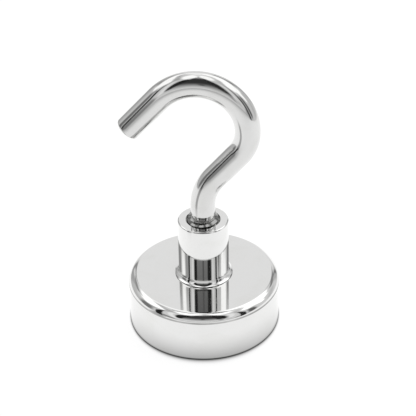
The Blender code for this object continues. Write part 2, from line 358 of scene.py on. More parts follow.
# %% [markdown]
# ## Materials
#
# The pot, the boss and the wire have the same bright nickel plate: a slightly warm, fully
# metallic mirror. It could be a plain metal with one roughness, but then every reflection
# would be equally crisp. Here the scratches and patches vary the roughness, and the skin bends
# reflections by a hair. The boss is turned and the brightest, the pressed pot is a little
# softer, and the drawn wire is the softest.
#
# Some shade is painted into the plate's colour: a faint dark line round the pot, painted where
# its wall runs into the shoulder to stand in for a dark reflection, painted shade in fine rings
# inside the boss's mouth, and painted shade on the thread. Each is a pattern that darkens the plate.
#
# The magnet's plate is a satin nickel, and the epoxy that holds the magnet is a black,
# slightly glossy resin with a poured surface.

# %% Plated metal
def use_group(tree, group, **values):
    """Place a group in a material and feed its inputs."""
    node = tree.nodes.new("ShaderNodeGroup")
    node.node_tree = group
    for label, value in values.items():
        feed(tree, value, node.inputs[label.replace("_", " ")])
    return node.outputs[0]


def blend_colour(tree, share, first, second):
    """Mix two colours by a share. The first may be another node's output."""
    node = tree.nodes.new("ShaderNodeMix")
    node.data_type = "RGBA"
    tree.links.new(share, node.inputs["Factor"])
    feed(tree, first if isinstance(first, bpy.types.NodeSocket) else (*first, 1.0), node.inputs["A"])
    node.inputs["B"].default_value = (*second, 1.0)
    return node.outputs["Result"]


def plated(name, clean, dull, smooth, rough, waves, depth, painted_shading=None):
    """Nickel plate: clean and dull colours, smooth and rough ends of its roughness.

    The painted shade, or a painted dark reflection, is given as the function that makes its pattern
    and its colour.
    """
    material = bpy.data.materials.new(name)
    material.use_nodes = True
    tree = material.node_tree
    shader = tree.nodes["Principled BSDF"]
    shader.inputs["Metallic"].default_value = 1.0
    place = tree.nodes.new("ShaderNodeTexCoord").outputs["Object"]
    scratches = use_group(tree, SCRATCHES, Place=place)
    dulling = use_group(tree, DULLING, Place=place)
    worn = math_node(tree, "MAXIMUM", math_node(tree, "MULTIPLY", scratches, 0.8), dulling)
    roughness = smooth_band(tree, worn, 0.0, 1.0, smooth, rough)
    tree.links.new(roughness, shader.inputs["Roughness"])
    colour = blend_colour(tree, worn, clean, dull)
    # lay the painted shade or painted dark reflection over the plate's colour
    if painted_shading:
        pattern, painted_colour = painted_shading
        colour = blend_colour(tree, pattern(tree, place), colour, painted_colour)
    tree.links.new(colour, shader.inputs["Base Color"])
    skin = use_group(tree, SKIN, Place=place, Waves=waves)
    height = math_node(tree, "MULTIPLY_ADD", scratches, -0.05, skin)
    bump = tree.nodes.new("ShaderNodeBump")
    bump.inputs["Distance"].default_value = depth
    bump.inputs["Strength"].default_value = 1.0
    tree.links.new(height, bump.inputs["Height"])
    tree.links.new(bump.outputs["Normal"], shader.inputs["Normal"])
    return material


# %% Painted shade, and a painted dark line standing in for a reflection
# the height of the painted dark line round the pot, a stand-in for a dark reflection at the top of its
# wall
PAINTED_LINE_HEIGHT = POT_HEIGHT - 1.0 * MM
SHOULDER_HEIGHT = 15.9 * MM  # where the wire steps down to its neck
NECK_START = SHOULDER_HEIGHT - 0.3 * MM
MOUTH_RADIUS = 2.25 * MM
# the spacing of the rings of painted shade inside the boss's mouth
MOUTH_RING_PITCH = 0.16 * MM


def painted_shoulder_line(tree, place):
    """A faint painted dark line right round the pot, where its wall runs into the shoulder, standing
    in for a dark reflection.
    """
    height = split_place(tree, place)[2]
    off = math_node(tree, "ABSOLUTE", math_node(tree, "SUBTRACT", height, PAINTED_LINE_HEIGHT))
    line = smooth_band(tree, off, 0.08 * MM, 0.16 * MM, 1.0, 0.0)
    strength = smooth_band(tree, noise(tree, place, 350.0), 0.3, 0.6, 0.6, 1.0)
    return math_node(tree, "MULTIPLY", line, strength)


def painted_thread_shade(tree, place):
    """Painted shade on the thread, below the neck."""
    height = split_place(tree, place)[2]
    return smooth_band(tree, height, NECK_START - 0.03 * MM, NECK_START + 0.03 * MM, 0.85, 0.0)


def painted_mouth_shade(tree, place):
    """Painted shade inside the boss's mouth, broken into fine rings."""
    flat = vector_node(tree, "LENGTH", vector_node(tree, "MULTIPLY", place, (1.0, 1.0, 0.0)))
    inside = smooth_band(tree, flat, MOUTH_RADIUS - 0.05 * MM, MOUTH_RADIUS + 0.03 * MM, 1.0, 0.0)
    wave = math_node(tree, "SINE", math_node(tree, "MULTIPLY", flat, math.tau / MOUTH_RING_PITCH))
    rings = smooth_band(tree, wave, -0.8, 0.8, 0.45, 1.0)
    return math_node(tree, "MULTIPLY", inside, rings)


# %% Nickel plate and satin nickel
nickel = plated(
    "bright nickel plate",
    clean=(0.815, 0.815, 0.81),
    dull=(0.795, 0.795, 0.785),
    smooth=0.035,
    rough=0.08,
    waves=0.4,
    depth=0.0005 * MM,
    # painted shade inside the boss's mouth
    painted_shading=(painted_mouth_shade, (0.18, 0.18, 0.175)),
)
pot_nickel = plated(
    "nickel plate on the pressed pot",
    clean=(0.815, 0.815, 0.81),
    dull=(0.795, 0.795, 0.785),
    smooth=0.045,
    rough=0.09,
    waves=0.4,
    depth=0.0006 * MM,
    # a painted dark line at the top of the wall, standing in for a dark reflection
    painted_shading=(painted_shoulder_line, (0.34, 0.34, 0.335)),
)
wire_nickel = plated(
    "nickel plated wire",
    clean=(0.72, 0.72, 0.715),
    dull=(0.69, 0.69, 0.68),
    smooth=0.085,
    rough=0.14,
    waves=0.4,
    depth=0.0006 * MM,
    # painted shade darkening the thread and the point below the neck
    painted_shading=(painted_thread_shade, (0.26, 0.26, 0.255)),
)
satin = plated(
    "satin magnet plate",
    clean=(0.70, 0.69, 0.67),
    dull=(0.60, 0.59, 0.57),
    smooth=0.20,
    rough=0.34,
    waves=0.3,
    depth=0.0015 * MM,
)
print("materials", [each.name for each in (nickel, pot_nickel, wire_nickel, satin)])

# %% Black epoxy
def poured_epoxy():
    """A black resin: a glossy meniscus with fine dust in it."""
    material = bpy.data.materials.new("black epoxy")
    material.use_nodes = True
    tree = material.node_tree
    shader = tree.nodes["Principled BSDF"]
    place = tree.nodes.new("ShaderNodeTexCoord").outputs["Object"]
    dust = use_group(tree, DULLING, Place=place, Size=900.0)
    colour = blend_colour(tree, dust, (0.012, 0.012, 0.013), (0.05, 0.048, 0.045))
    tree.links.new(colour, shader.inputs["Base Color"])
    tree.links.new(smooth_band(tree, dust, 0.0, 1.0, 0.28, 0.6), shader.inputs["Roughness"])
    bump = tree.nodes.new("ShaderNodeBump")
    bump.inputs["Distance"].default_value = 0.01 * MM
    tree.links.new(noise(tree, place, 1500.0, detail=3.0), bump.inputs["Height"])
    tree.links.new(bump.outputs["Normal"], shader.inputs["Normal"])
    return material


epoxy = poured_epoxy()
print("material", epoxy.name)

# %% [markdown]
# ## The pot
#
# The pot is pressed from sheet steel: a plain wall, a rounded shoulder, a flat roof with a
# hole for the boss, and a thin rim round the open side. It could be spun from a profile. A
# cylinder with its top edge bevelled and its underside inset and pushed up is closer to how
# the press makes it, and the flat faces keep extra rings so that their reflections stay flat.

# %% Pot
ROUND_SIDES = 192
SHOULDER = 1.15 * MM
SHOULDER_STEPS = 20
RIM_ROUND = 0.18 * MM
EDGE_RING = 0.04 * MM  # from a rounded edge to the ring that keeps the flat beside it flat
ROOF_RING = 2.0 * MM
WALL_RINGS = (2.0 * MM, 4.0 * MM)
POT_BORE = 8.6 * MM
RIM_CHAMFER = 0.2 * MM
ROOF_UNDERSIDE = 4.8 * MM
INNER_CORNER = 0.3 * MM
STAKE_HOLE = 2.75 * MM
STAKE_FLARE = 0.55 * MM

pot = start(
    "pot",
    bpy.ops.mesh.primitive_cylinder_add,
    vertices=ROUND_SIDES,
    radius=POT_RADIUS,
    depth=POT_HEIGHT,
    end_fill_type="NGON",
    location=(0.0, 0.0, POT_HEIGHT / 2.0),
)
round_ring(pot, POT_RADIUS, POT_HEIGHT, SHOULDER, SHOULDER_STEPS)
round_ring(pot, POT_RADIUS, 0.0, RIM_ROUND, 6)
pick(pot, "FACE", at_height(POT_HEIGHT))
for thickness in (
    EDGE_RING,
    ROOF_RING,
    ROOF_RING,
    POT_RADIUS - SHOULDER - EDGE_RING - 2.0 * ROOF_RING - STAKE_HOLE,
):
    bpy.ops.mesh.inset(thickness=thickness)
cut_rings([RIM_ROUND + EDGE_RING, *WALL_RINGS, POT_HEIGHT - SHOULDER - EDGE_RING])
print("the roof's hole is", round(2.0 * STAKE_HOLE / MM, 2), "mm across")

# %% Pot: the cavity under the roof
pick(pot, "FACE", at_height(0.0))
bpy.ops.mesh.inset(thickness=POT_RADIUS - RIM_ROUND - POT_BORE - RIM_CHAMFER)
lift(RIM_CHAMFER)
widen(POT_BORE / (POT_BORE + RIM_CHAMFER), RIM_CHAMFER)
lift(ROOF_UNDERSIDE - INNER_CORNER - RIM_CHAMFER)
lift(INNER_CORNER)
widen((POT_BORE - INNER_CORNER) / POT_BORE, ROOF_UNDERSIDE)
bpy.ops.mesh.inset(thickness=POT_BORE - INNER_CORNER - STAKE_HOLE - STAKE_FLARE)
lift(STAKE_FLARE)
widen(STAKE_HOLE / (STAKE_HOLE + STAKE_FLARE), ROOF_UNDERSIDE + STAKE_FLARE)


def hole_ends(place):
    """The two round faces that close the staking hole."""
    inside = math.hypot(place.x, place.y) < STAKE_HOLE + NEAR
    height_ok = abs(place.z - POT_HEIGHT) < NEAR or abs(place.z - ROOF_UNDERSIDE - STAKE_FLARE) < NEAR
    return inside and height_ok


print("hole ends", pick(pot, "FACE", hole_ends))
bpy.ops.mesh.bridge_edge_loops()
settle(pot, "magnet_pot", "base", pot_nickel)

# %% [markdown]
# ## The magnet and its epoxy
#
# Under the pot a disc magnet lies flush with the rim, and a ring of black epoxy fills the gap
# round it. Neither shows from above, but both show when the hook is seen from below. The
# magnet is a disc with its edges broken by a small chamfer. The epoxy is one pour: a film
# behind the magnet and a ring round it, so it is modelled as a shallow cup upside down.

# %% Magnet disc
MAGNET_CHAMFER = 0.2 * MM
FACE_RING = 0.03 * MM  # the same kind of ring, inside a small face

disc = start(
    "magnet_disc",
    bpy.ops.mesh.primitive_cylinder_add,
    vertices=ROUND_SIDES,
    radius=disc_high.x,
    depth=disc_high.z,
    end_fill_type="NGON",
    location=(0.0, 0.0, disc_high.z / 2.0),
)
for height in (0.0, disc_high.z):
    round_ring(disc, disc_high.x, height, MAGNET_CHAMFER, 3)
    pick(disc, "FACE", at_height(height))
    bpy.ops.mesh.inset(thickness=FACE_RING)
settle(disc, "disc_magnet", "base", satin)

# %% Epoxy pour
EPOXY_INNER = 8.05 * MM
EPOXY_FILM_BOTTOM = 4.6 * MM

pour = start(
    "epoxy_pour",
    bpy.ops.mesh.primitive_cylinder_add,
    vertices=ROUND_SIDES,
    radius=epoxy_high.x,
    depth=epoxy_high.z - epoxy_low.z,
    end_fill_type="NGON",
    location=(0.0, 0.0, (epoxy_high.z + epoxy_low.z) / 2.0),
)
round_ring(pour, epoxy_high.x, epoxy_high.z, INNER_CORNER, 3)
pick(pour, "FACE", at_height(epoxy_low.z))
bpy.ops.mesh.inset(thickness=epoxy_high.x - EPOXY_INNER)
lift(EPOXY_FILM_BOTTOM - epoxy_low.z)
settle(pour, "epoxy_bed", "base", epoxy)

# %% [markdown]
# ## Threads
#
# The boss is tapped and the shank is rolled with the same right-hand thread, 4 mm across with
# a 0.7 mm pitch. A thread could be faked with stacked rings or a bump, but rings aren't a
# screw, and the shank's thread shows between the boss and the hook. The Screw modifier
# sweeps one pitch of the thread's outline up the axis, which is what a tap does. Turns are
# counted from z = 0, so that the shank and the bore are in mesh.

# %% Thread
PITCH = 0.7 * MM
THREAD_RADIUS = 2.0 * MM
THREAD_DEPTH = 0.625 * math.sqrt(0.75) * PITCH
THREAD_GAP = 0.06 * MM
THREAD_MERGE = 0.0005 * MM
TURN_STEPS = 64
THREAD_FORM = (
    # how far out, and how far up as a share of the pitch: root, flank, crest and flank
    (0.0, 0.25),
    (THREAD_DEPTH, 0.3125),
    (0.0, 0.125),
    (-THREAD_DEPTH, 0.3125),
)


def threaded_rod(name, crest, low, high):
    """A rod with the thread on it, cut square at both ends."""
    # a small plane is merged to a point, and the point pulled into one pitch of the outline
    rod = start(name, bpy.ops.mesh.primitive_plane_add, size=0.1 * MM)
    bpy.ops.mesh.select_mode(type="VERT")
    bpy.ops.mesh.select_all(action="SELECT")
    bpy.ops.mesh.merge(type="CENTER")
    first = math.floor(low / PITCH) - 2
    root = crest - THREAD_DEPTH
    bpy.ops.transform.translate(value=(root, 0.0, first * PITCH))
    for out, up in THREAD_FORM:
        step = (out, 0.0, up * PITCH)
        bpy.ops.mesh.extrude_region_move(TRANSFORM_OT_translate={"value": step})
    bpy.ops.object.mode_set(mode="OBJECT")
    sweep = rod.modifiers.new("sweep", "SCREW")
    sweep.axis = "Z"
    sweep.angle = math.tau
    sweep.screw_offset = PITCH
    sweep.iterations = math.ceil(high / PITCH) + 2 - first
    sweep.steps = TURN_STEPS
    sweep.render_steps = TURN_STEPS
    bpy.ops.object.modifier_apply(modifier="sweep")
    bpy.ops.object.mode_set(mode="EDIT")
    bpy.ops.mesh.select_all(action="SELECT")
    bpy.ops.mesh.remove_doubles(threshold=THREAD_MERGE)
    for height, below in ((low, True), (high, False)):
        bpy.ops.mesh.select_all(action="SELECT")
        bpy.ops.mesh.bisect(
            plane_co=(0.0, 0.0, height),
            plane_no=(0.0, 0.0, 1.0),
            threshold=CLOSE,
            use_fill=True,
            clear_inner=below,
            clear_outer=not below,
        )
    bpy.ops.mesh.select_all(action="SELECT")
    bpy.ops.mesh.normals_make_consistent(inside=False)
    bpy.ops.object.mode_set(mode="OBJECT")
    print(name, len(rod.data.polygons), "faces")
    return rod


def combine(piece, how, other):
    """Join, cut or keep the common part of two closed shapes, and drop the second."""
    change = piece.modifiers.new(how.lower(), "BOOLEAN")
    change.operation = how
    change.solver = "EXACT"
    change.object = other
    clear_selection()
    bpy.context.view_layer.objects.active = piece
    piece.select_set(True)
    bpy.ops.object.modifier_apply(modifier=change.name)
    bpy.data.objects.remove(other, do_unlink=True)


# %% [markdown]
# ## The boss
#
# The boss is a turned steel post. Its foot flares into a thin skirt on the pot's roof, its top
# edge is rounded, and its spigot goes through the roof and is flared underneath to hold it.
# It is modelled from the skirt up: the skirt's top face is pulled up in small steps and made
# smaller at each, along the hollow curve of the flare, and then straight up to the mouth. A
# bevel of the inner corner would be quicker, but it would run out flat on the roof, and the
# real flare stops short at a lip. The tapped hole is cut last.

# %% Boss: the post on its skirt
BOSS_RADIUS = 3.3 * MM
SKIRT_WIDTH = 0.5 * MM
SKIRT_HOLLOW = 0.8 * MM
SKIRT_LIP = 0.05 * MM
SKIRT_STEPS = 14
TOP_ROUND = 0.2 * MM
SPIGOT_RADIUS = 2.7 * MM
SPIGOT_FLARE = 0.5 * MM
BOSS_SIDES = 160

radius = BOSS_RADIUS + SKIRT_WIDTH
height = BOSS_FOOT + SKIRT_LIP
boss = start(
    "boss",
    bpy.ops.mesh.primitive_cylinder_add,
    vertices=BOSS_SIDES,
    radius=radius,
    depth=SKIRT_LIP,
    end_fill_type="NGON",
    location=(0.0, 0.0, height - SKIRT_LIP / 2.0),
)
pick(boss, "FACE", at_height(height))
steepest = math.acos(1.0 - SKIRT_WIDTH / SKIRT_HOLLOW)
waist = height + SKIRT_HOLLOW * math.sin(steepest)
for step in range(1, SKIRT_STEPS + 1):
    slope = steepest * (1.0 - step / SKIRT_STEPS)
    next_radius = BOSS_RADIUS + SKIRT_HOLLOW * (1.0 - math.cos(slope))
    next_height = waist - SKIRT_HOLLOW * math.sin(slope)
    lift(next_height - height)
    widen(next_radius / radius, next_height)
    radius, height = next_radius, next_height
lift(BOSS_TOP - height)
print("skirt runs into the post at", round(waist / MM, 2), "mm")
round_ring(boss, BOSS_RADIUS, BOSS_TOP, TOP_ROUND, 8)
pick(boss, "FACE", at_height(BOSS_TOP))
bpy.ops.mesh.inset(thickness=FACE_RING)
cut_rings([BOSS_FOOT + 1.0 * MM, BOSS_FOOT + 4.0 * MM, BOSS_TOP - TOP_ROUND - 0.05 * MM])

# %% Boss: the spigot underneath, the mouth and the tapped hole
pick(boss, "FACE", at_height(BOSS_FOOT))
bpy.ops.mesh.inset(thickness=BOSS_RADIUS + SKIRT_WIDTH - SPIGOT_RADIUS)
lift(boss_low.z + SPIGOT_FLARE - BOSS_FOOT)
lift(-SPIGOT_FLARE)
widen((SPIGOT_RADIUS + SPIGOT_FLARE) / SPIGOT_RADIUS, boss_low.z)
bpy.ops.object.mode_set(mode="OBJECT")

BORE_FLOOR = 0.6 * MM
CUTTER_PAST = 1.0 * MM  # how far both cutters stand out over the boss

mouth_cutter = start(
    "mouth_cutter",
    bpy.ops.mesh.primitive_cone_add,
    vertices=BOSS_SIDES,
    radius1=0.0,
    radius2=MOUTH_RADIUS + CUTTER_PAST,
    depth=MOUTH_RADIUS + CUTTER_PAST,
    location=(0.0, 0.0, BOSS_TOP + CUTTER_PAST - (MOUTH_RADIUS + CUTTER_PAST) / 2.0),
)
bpy.ops.object.mode_set(mode="OBJECT")
tap = threaded_rod("tap", THREAD_RADIUS + THREAD_GAP, boss_low.z + BORE_FLOOR, BOSS_TOP + CUTTER_PAST)
combine(boss, "DIFFERENCE", tap)
combine(boss, "DIFFERENCE", mouth_cutter)
bpy.ops.object.mode_set(mode="EDIT")
settle(boss, "threaded_boss", "base", nickel)

# %% [markdown]
# ## The hook
#
# The hook is one length of 3.2 mm wire. It rises from the boss, leans out to the right, comes
# back over a short elbow into the bowl, and ends in a straight tail cut square with a broken
# edge. A curve with a round bevel would do, but a bench bender works on one bend at a time,
# and so does the spin tool: the ring of the wire's end is pulled straight, then spun about
# the middle of the next bend. Each bend's radius and angle is then a real one.

# %% Hook: bend the wire
WIRE_RADIUS = 1.6 * MM
WIRE_SIDES = 96
STRAIGHT_STEP = 0.4 * MM
BEND_STEP = 1.75
RUNS = (
    # each run's length, or its bend's radius and angle
    ("straight", 1.25 * MM, 0.0),
    ("stem bend", 6.3 * MM, 41.0),
    ("reach", 4.42 * MM, 0.0),
    ("elbow", 4.8 * MM, -38.5),
    ("bowl", 6.23 * MM, -139.5),
    ("tail", 6.0 * MM, 0.0),
)

hook = start(
    "hook_wire",
    bpy.ops.mesh.primitive_circle_add,
    vertices=WIRE_SIDES,
    radius=WIRE_RADIUS,
    location=(0.0, 0.0, SHOULDER_HEIGHT),
)
bpy.ops.mesh.select_mode(type="EDGE")
bpy.ops.mesh.select_all(action="SELECT")
end = Vector((0.0, 0.0, SHOULDER_HEIGHT))
heading = 0.0
for name, size, angle in RUNS:
    along = Vector((math.sin(heading), 0.0, math.cos(heading)))
    if angle == 0.0:
        steps = max(3, round(size / STRAIGHT_STEP))
        for step in range(steps):
            bpy.ops.mesh.extrude_region_move(TRANSFORM_OT_translate={"value": along * size / steps})
        end = end + along * size
    else:
        sweep = math.radians(angle)
        side = Vector((math.cos(heading), 0.0, -math.sin(heading))) * math.copysign(size, sweep)
        middle = end + side
        steps = max(8, round(abs(angle) / BEND_STEP))
        bpy.ops.mesh.spin(steps=steps, angle=-sweep, center=middle, axis=(0.0, 1.0, 0.0))
        end = middle + Matrix.Rotation(sweep, 3, "Y") @ (end - middle)
        heading += sweep
    print(name, "ends at", [round(value / MM, 2) for value in end])

# %% Hook: close and round the two ends
NECK_EDGE = 0.15 * MM
TAIL_EDGE = 0.4 * MM


def across_wire(point, normal):
    """A test for points on a plane across the wire."""
    return lambda place: (
        abs((place - point).dot(normal)) < NEAR and (place - point).length < 2.0 * WIRE_RADIUS
    )


tail_way = Vector((math.sin(heading), 0.0, math.cos(heading)))
for point, way, size in (
    (Vector((0.0, 0.0, SHOULDER_HEIGHT)), Vector((0.0, 0.0, 1.0)), NECK_EDGE),
    (end, tail_way, TAIL_EDGE),
):
    pick(hook, "EDGE", across_wire(point, way))
    bpy.ops.mesh.edge_face_add()
    bpy.ops.mesh.select_mode(type="EDGE")
    rounded = pick(hook, "EDGE", across_wire(point, way))
    bpy.ops.mesh.bevel(offset=size, offset_type="OFFSET", segments=8, profile=0.5, affect="EDGES")
    pick(hook, "FACE", across_wire(point, way))
    bpy.ops.mesh.inset(thickness=FACE_RING)
    print("an end closed, with", rounded, "edges rounded by", round(size / MM, 2), "mm")
bpy.ops.mesh.select_all(action="SELECT")
bpy.ops.mesh.normals_make_consistent(inside=False)
bpy.ops.object.mode_set(mode="OBJECT")

# %% [markdown]
# ## The shank's thread and the neck
#
# Below the shoulder the wire is turned down to a short neck, and the thread is rolled on the
# rest. The thread runs out towards the neck and has a chamfered start. A plain blank with
# that outline is kept in common with the threaded rod, as a die leaves the blank's own shape
# at both ends of the thread, and then both are joined to the wire.

# %% Shank
THREAD_FOOT = tip_high.z + PIECE_GAP
NECK_RADIUS = 1.5 * MM
RUNOUT = 0.25 * MM
OVERLAP = 0.02 * MM  # keeps two joined or cut shapes from sharing a face
BLANK_RADIUS = THREAD_RADIUS + OVERLAP
CORE_LENGTH = 2.0 * MM  # of the plain core that runs from the wire into the thread
CORE_DROP = 0.4 * MM

blank = start(
    "blank",
    bpy.ops.mesh.primitive_cylinder_add,
    vertices=WIRE_SIDES,
    radius=BLANK_RADIUS,
    depth=NECK_START - RUNOUT - THREAD_FOOT,
    end_fill_type="NGON",
    location=(0.0, 0.0, (NECK_START - RUNOUT + THREAD_FOOT) / 2.0),
)
round_ring(blank, BLANK_RADIUS, THREAD_FOOT, THREAD_DEPTH + OVERLAP, 1)
pick(blank, "FACE", at_height(NECK_START - RUNOUT))
lift(RUNOUT)
widen(NECK_RADIUS / BLANK_RADIUS, NECK_START)
bpy.ops.object.mode_set(mode="OBJECT")
shank = threaded_rod("shank", THREAD_RADIUS, THREAD_FOOT - PITCH, NECK_START + PITCH)
combine(shank, "INTERSECT", blank)

neck = start(
    "neck",
    bpy.ops.mesh.primitive_cylinder_add,
    vertices=WIRE_SIDES,
    radius=NECK_RADIUS - OVERLAP,
    depth=CORE_LENGTH,
    end_fill_type="NGON",
    location=(0.0, 0.0, SHOULDER_HEIGHT - CORE_DROP),
)
bpy.ops.object.mode_set(mode="OBJECT")
combine(hook, "UNION", neck)
combine(hook, "UNION", shank)
bpy.ops.object.mode_set(mode="EDIT")
settle(hook, "hook", "hook", wire_nickel)

# %% [markdown]
# ## The shank's point
#
# The last bit of the wire below the thread is plain, with a chamfered end. It is part of the
# same wire, and only a piece of its own because it carries the screw's rise. It is a short
# cylinder with its lower edge bevelled.

# %% Point
POINT_CHAMFER = 0.3 * MM
POINT_SIDES = 64

point_piece = start(
    "shank_tip",
    bpy.ops.mesh.primitive_cylinder_add,
    vertices=POINT_SIDES,
    radius=tip_high.x,
    depth=tip_high.z - tip_low.z,
    end_fill_type="NGON",
    location=(0.0, 0.0, (tip_high.z + tip_low.z) / 2.0),
)
round_ring(point_piece, tip_high.x, tip_low.z, POINT_CHAMFER, 2)
settle(point_piece, "shank_point", "point", wire_nickel)

# %% [markdown]
# ## The light tent
#
# A mirror shows its room, so the room is designed by what the plate has to show. In the
# photograph the pot's shoulder carries, from left to right, a soft white side light, a black
# stripe, a white stripe, a dark band with a grey window in it, and the same again in reverse.
# The hook, 25 mm higher, shows the same stripes a few degrees lower, so the room isn't far
# away: it is a tent about 36 cm across, which small bright goods are photographed in.
#
# The tent could be built from panels. A dome with a glowing material is lighter: a place on
# it is a bearing and a height in degrees, and soft-edged strips of card are laid over it one
# after another. A bearing of 0 is towards the camera, and 90 is to the right. The camera
# looks in from inside the dome, so camera rays pass through it to a white world.

# %% Group: a card in the tent
def build_card():
    """A soft-edged strip between two places in the tent, given in degrees."""
    group, given, result = new_group(
        "Card",
        [
            ("Place", "NodeSocketVector", None),
            ("From", "NodeSocketVector", None),
            ("To", "NodeSocketVector", None),
            ("Near half width", "NodeSocketFloat", 5.0),
            ("Far half width", "NodeSocketFloat", 5.0),
            ("Softness", "NodeSocketFloat", 3.0),
        ],
        [("Cover", "NodeSocketFloat")],
    )
    run = vector_node(group, "SUBTRACT", given.outputs["To"], given.outputs["From"])
    offset = vector_node(group, "SUBTRACT", given.outputs["Place"], given.outputs["From"])
    length = vector_node(group, "DOT_PRODUCT", run, run)
    share = math_node(
        group, "DIVIDE", vector_node(group, "DOT_PRODUCT", offset, run), length, clamp=True
    )
    nearest = vector_node(group, "SCALE", run, scale=share)
    distance = vector_node(group, "LENGTH", vector_node(group, "SUBTRACT", offset, nearest))
    spread = math_node(
        group, "SUBTRACT", given.outputs["Far half width"], given.outputs["Near half width"]
    )
    half = math_node(group, "MULTIPLY_ADD", spread, share, given.outputs["Near half width"])
    inner = math_node(group, "SUBTRACT", half, given.outputs["Softness"])
    outer = math_node(group, "ADD", half, given.outputs["Softness"])
    cover = smooth_band(group, distance, inner, outer, 1.0, 0.0)
    group.links.new(cover, result.inputs["Cover"])
    return group


CARD = build_card()

# %% The tent's cards, from the soft lights at its sides to the stripes in front
CARDS = (
    # brightness, from (bearing, height), to (bearing, height), half widths, softness
    # at the sides and behind: greyer cloth, the soft lights, and the dim strips over them
    (0.56, (-128.0, 8.0), (-104.0, 6.0), 16.0, 10.0, 6.0),
    (0.56, (-132.0, 27.0), (-122.0, 24.0), 4.0, 3.0, 3.0),
    (0.58, (120.0, 24.0), (104.0, 8.0), 6.0, 6.0, 5.0),
    (1.15, (-180.0, 58.0), (-170.0, 51.0), 14.0, 8.0, 2.5),
    (1.15, (180.0, 58.0), (170.0, 51.0), 14.0, 8.0, 2.5),
    (1.35, (-160.0, 45.0), (-125.0, 50.0), 3.0, 9.0, 2.0),
    (1.35, (-125.0, 50.0), (-98.0, 48.0), 9.0, 11.0, 2.0),
    (1.35, (-98.0, 50.0), (-86.0, 53.0), 9.0, 4.0, 2.0),
    (1.30, (-113.0, 37.0), (-99.0, 37.0), 4.5, 4.5, 2.0),
    (1.40, (78.0, 49.0), (120.0, 52.0), 8.0, 12.0, 2.0),
    (1.40, (120.0, 52.0), (162.0, 54.0), 12.0, 9.0, 2.0),
    (1.40, (94.0, 48.0), (94.0, 27.0), 13.0, 5.0, 2.0),
    (1.35, (90.0, 38.0), (116.0, 38.0), 5.0, 5.0, 2.0),
    (1.20, (148.0, 2.0), (158.0, 4.0), 4.0, 6.0, 3.0),
    (1.35, (-160.0, 79.0), (-60.0, 79.0), 9.0, 9.0, 3.0),
    (1.35, (52.0, 79.0), (160.0, 80.0), 8.0, 8.0, 3.0),
    (0.38, (-147.0, 57.0), (-132.0, 60.0), 2.0, 2.2, 2.0),
    (0.60, (-132.0, 61.0), (-115.0, 64.0), 2.5, 3.5, 2.5),
    (0.48, (-115.0, 65.0), (-80.0, 64.0), 3.2, 4.5, 2.5),
    (0.60, (68.0, 62.0), (95.0, 67.0), 2.5, 3.0, 2.5),
    # in front: the seam of the dark window, and the dark bands and white strips beside it
    (0.10, (-2.5, 38.0), (-2.5, 30.0), 3.0, 3.0, 2.5),
    (0.32, (-26.0, 84.0), (24.0, 84.0), 6.0, 6.0, 3.0),
    (0.02, (-40.0, 58.0), (-36.5, 26.0), 11.5, 4.8, 2.2),
    (0.02, (25.5, 56.0), (24.5, 27.0), 12.0, 6.5, 2.2),
    (0.95, (-64.5, 56.0), (-42.5, 20.0), 4.2, 4.0, 2.0),
    (0.35, (24.0, 22.0), (22.0, 11.0), 4.0, 3.0, 3.0),
    (0.60, (36.0, 22.0), (33.0, 12.0), 5.0, 5.0, 4.0),
    (0.90, (49.0, 56.0), (36.5, 22.0), 5.5, 3.2, 2.2),
    # low at the front, where the sheet ends, and the grey patches round it
    (0.25, (-56.0, 9.0), (-46.0, 6.0), 8.0, 7.0, 3.5),
    (0.35, (46.0, 6.0), (46.0, -4.0), 5.0, 5.0, 3.0),
    (0.50, (-60.0, 1.0), (60.0, 1.0), 2.5, 2.5, 1.5),
    # the black poles and the grey gaps next to them, left and then right
    (0.20, (-89.0, 20.5), (-87.0, 10.0), 11.5, 11.5, 5.0),
    (0.40, (-86.0, 34.0), (-79.0, 34.0), 3.2, 3.2, 2.0),
    (0.25, (-79.0, 58.0), (-74.0, 46.0), 2.0, 2.0, 1.6),
    (0.02, (-74.0, 46.0), (-68.5, 28.0), 2.4, 5.2, 1.5),
    (0.02, (-68.5, 28.0), (-63.0, 0.0), 5.2, 5.2, 1.5),
    (0.12, (63.0, 58.0), (59.0, 44.0), 1.5, 2.0, 1.4),
    (0.02, (58.5, 44.0), (56.5, 28.0), 2.6, 4.4, 1.4),
    (0.02, (56.5, 28.0), (53.0, 0.0), 4.4, 4.6, 1.4),
    (0.13, (71.0, 29.0), (69.0, 8.0), 6.0, 7.0, 3.0),
    # behind: the tent's two seams, and the grey ends of the side lights as the boss sees them
    (0.42, (-141.0, 8.0), (-141.0, 29.0), 8.0, 7.0, 4.0),
    (0.50, (140.0, 10.0), (143.0, 29.0), 8.0, 7.0, 4.0),
    (0.30, (-164.0, 36.0), (-148.0, 8.0), 2.5, 3.0, 2.0),
    (0.32, (-153.0, 34.5), (-130.0, 34.5), 3.8, 3.8, 2.0),
    (0.50, (160.0, 41.0), (150.0, 32.0), 2.5, 2.5, 2.0),
    (0.22, (150.0, 32.0), (140.0, 5.0), 2.0, 2.0, 1.8),
    (0.26, (136.0, 34.5), (160.0, 34.5), 3.8, 3.8, 2.0),
)

# %% The tent's glowing wall
TENT_RADIUS = 180.0 * MM
TENT_MIDDLE = 7.0 * MM
DARK_ROOM = 0.04


def mix_level(tree, share, under, over):
    """Lay one brightness over another by a share."""
    node = tree.nodes.new("ShaderNodeMix")
    tree.links.new(share, node.inputs["Factor"])
    tree.links.new(under, node.inputs["A"])
    node.inputs["B"].default_value = over
    return node.outputs["Result"]


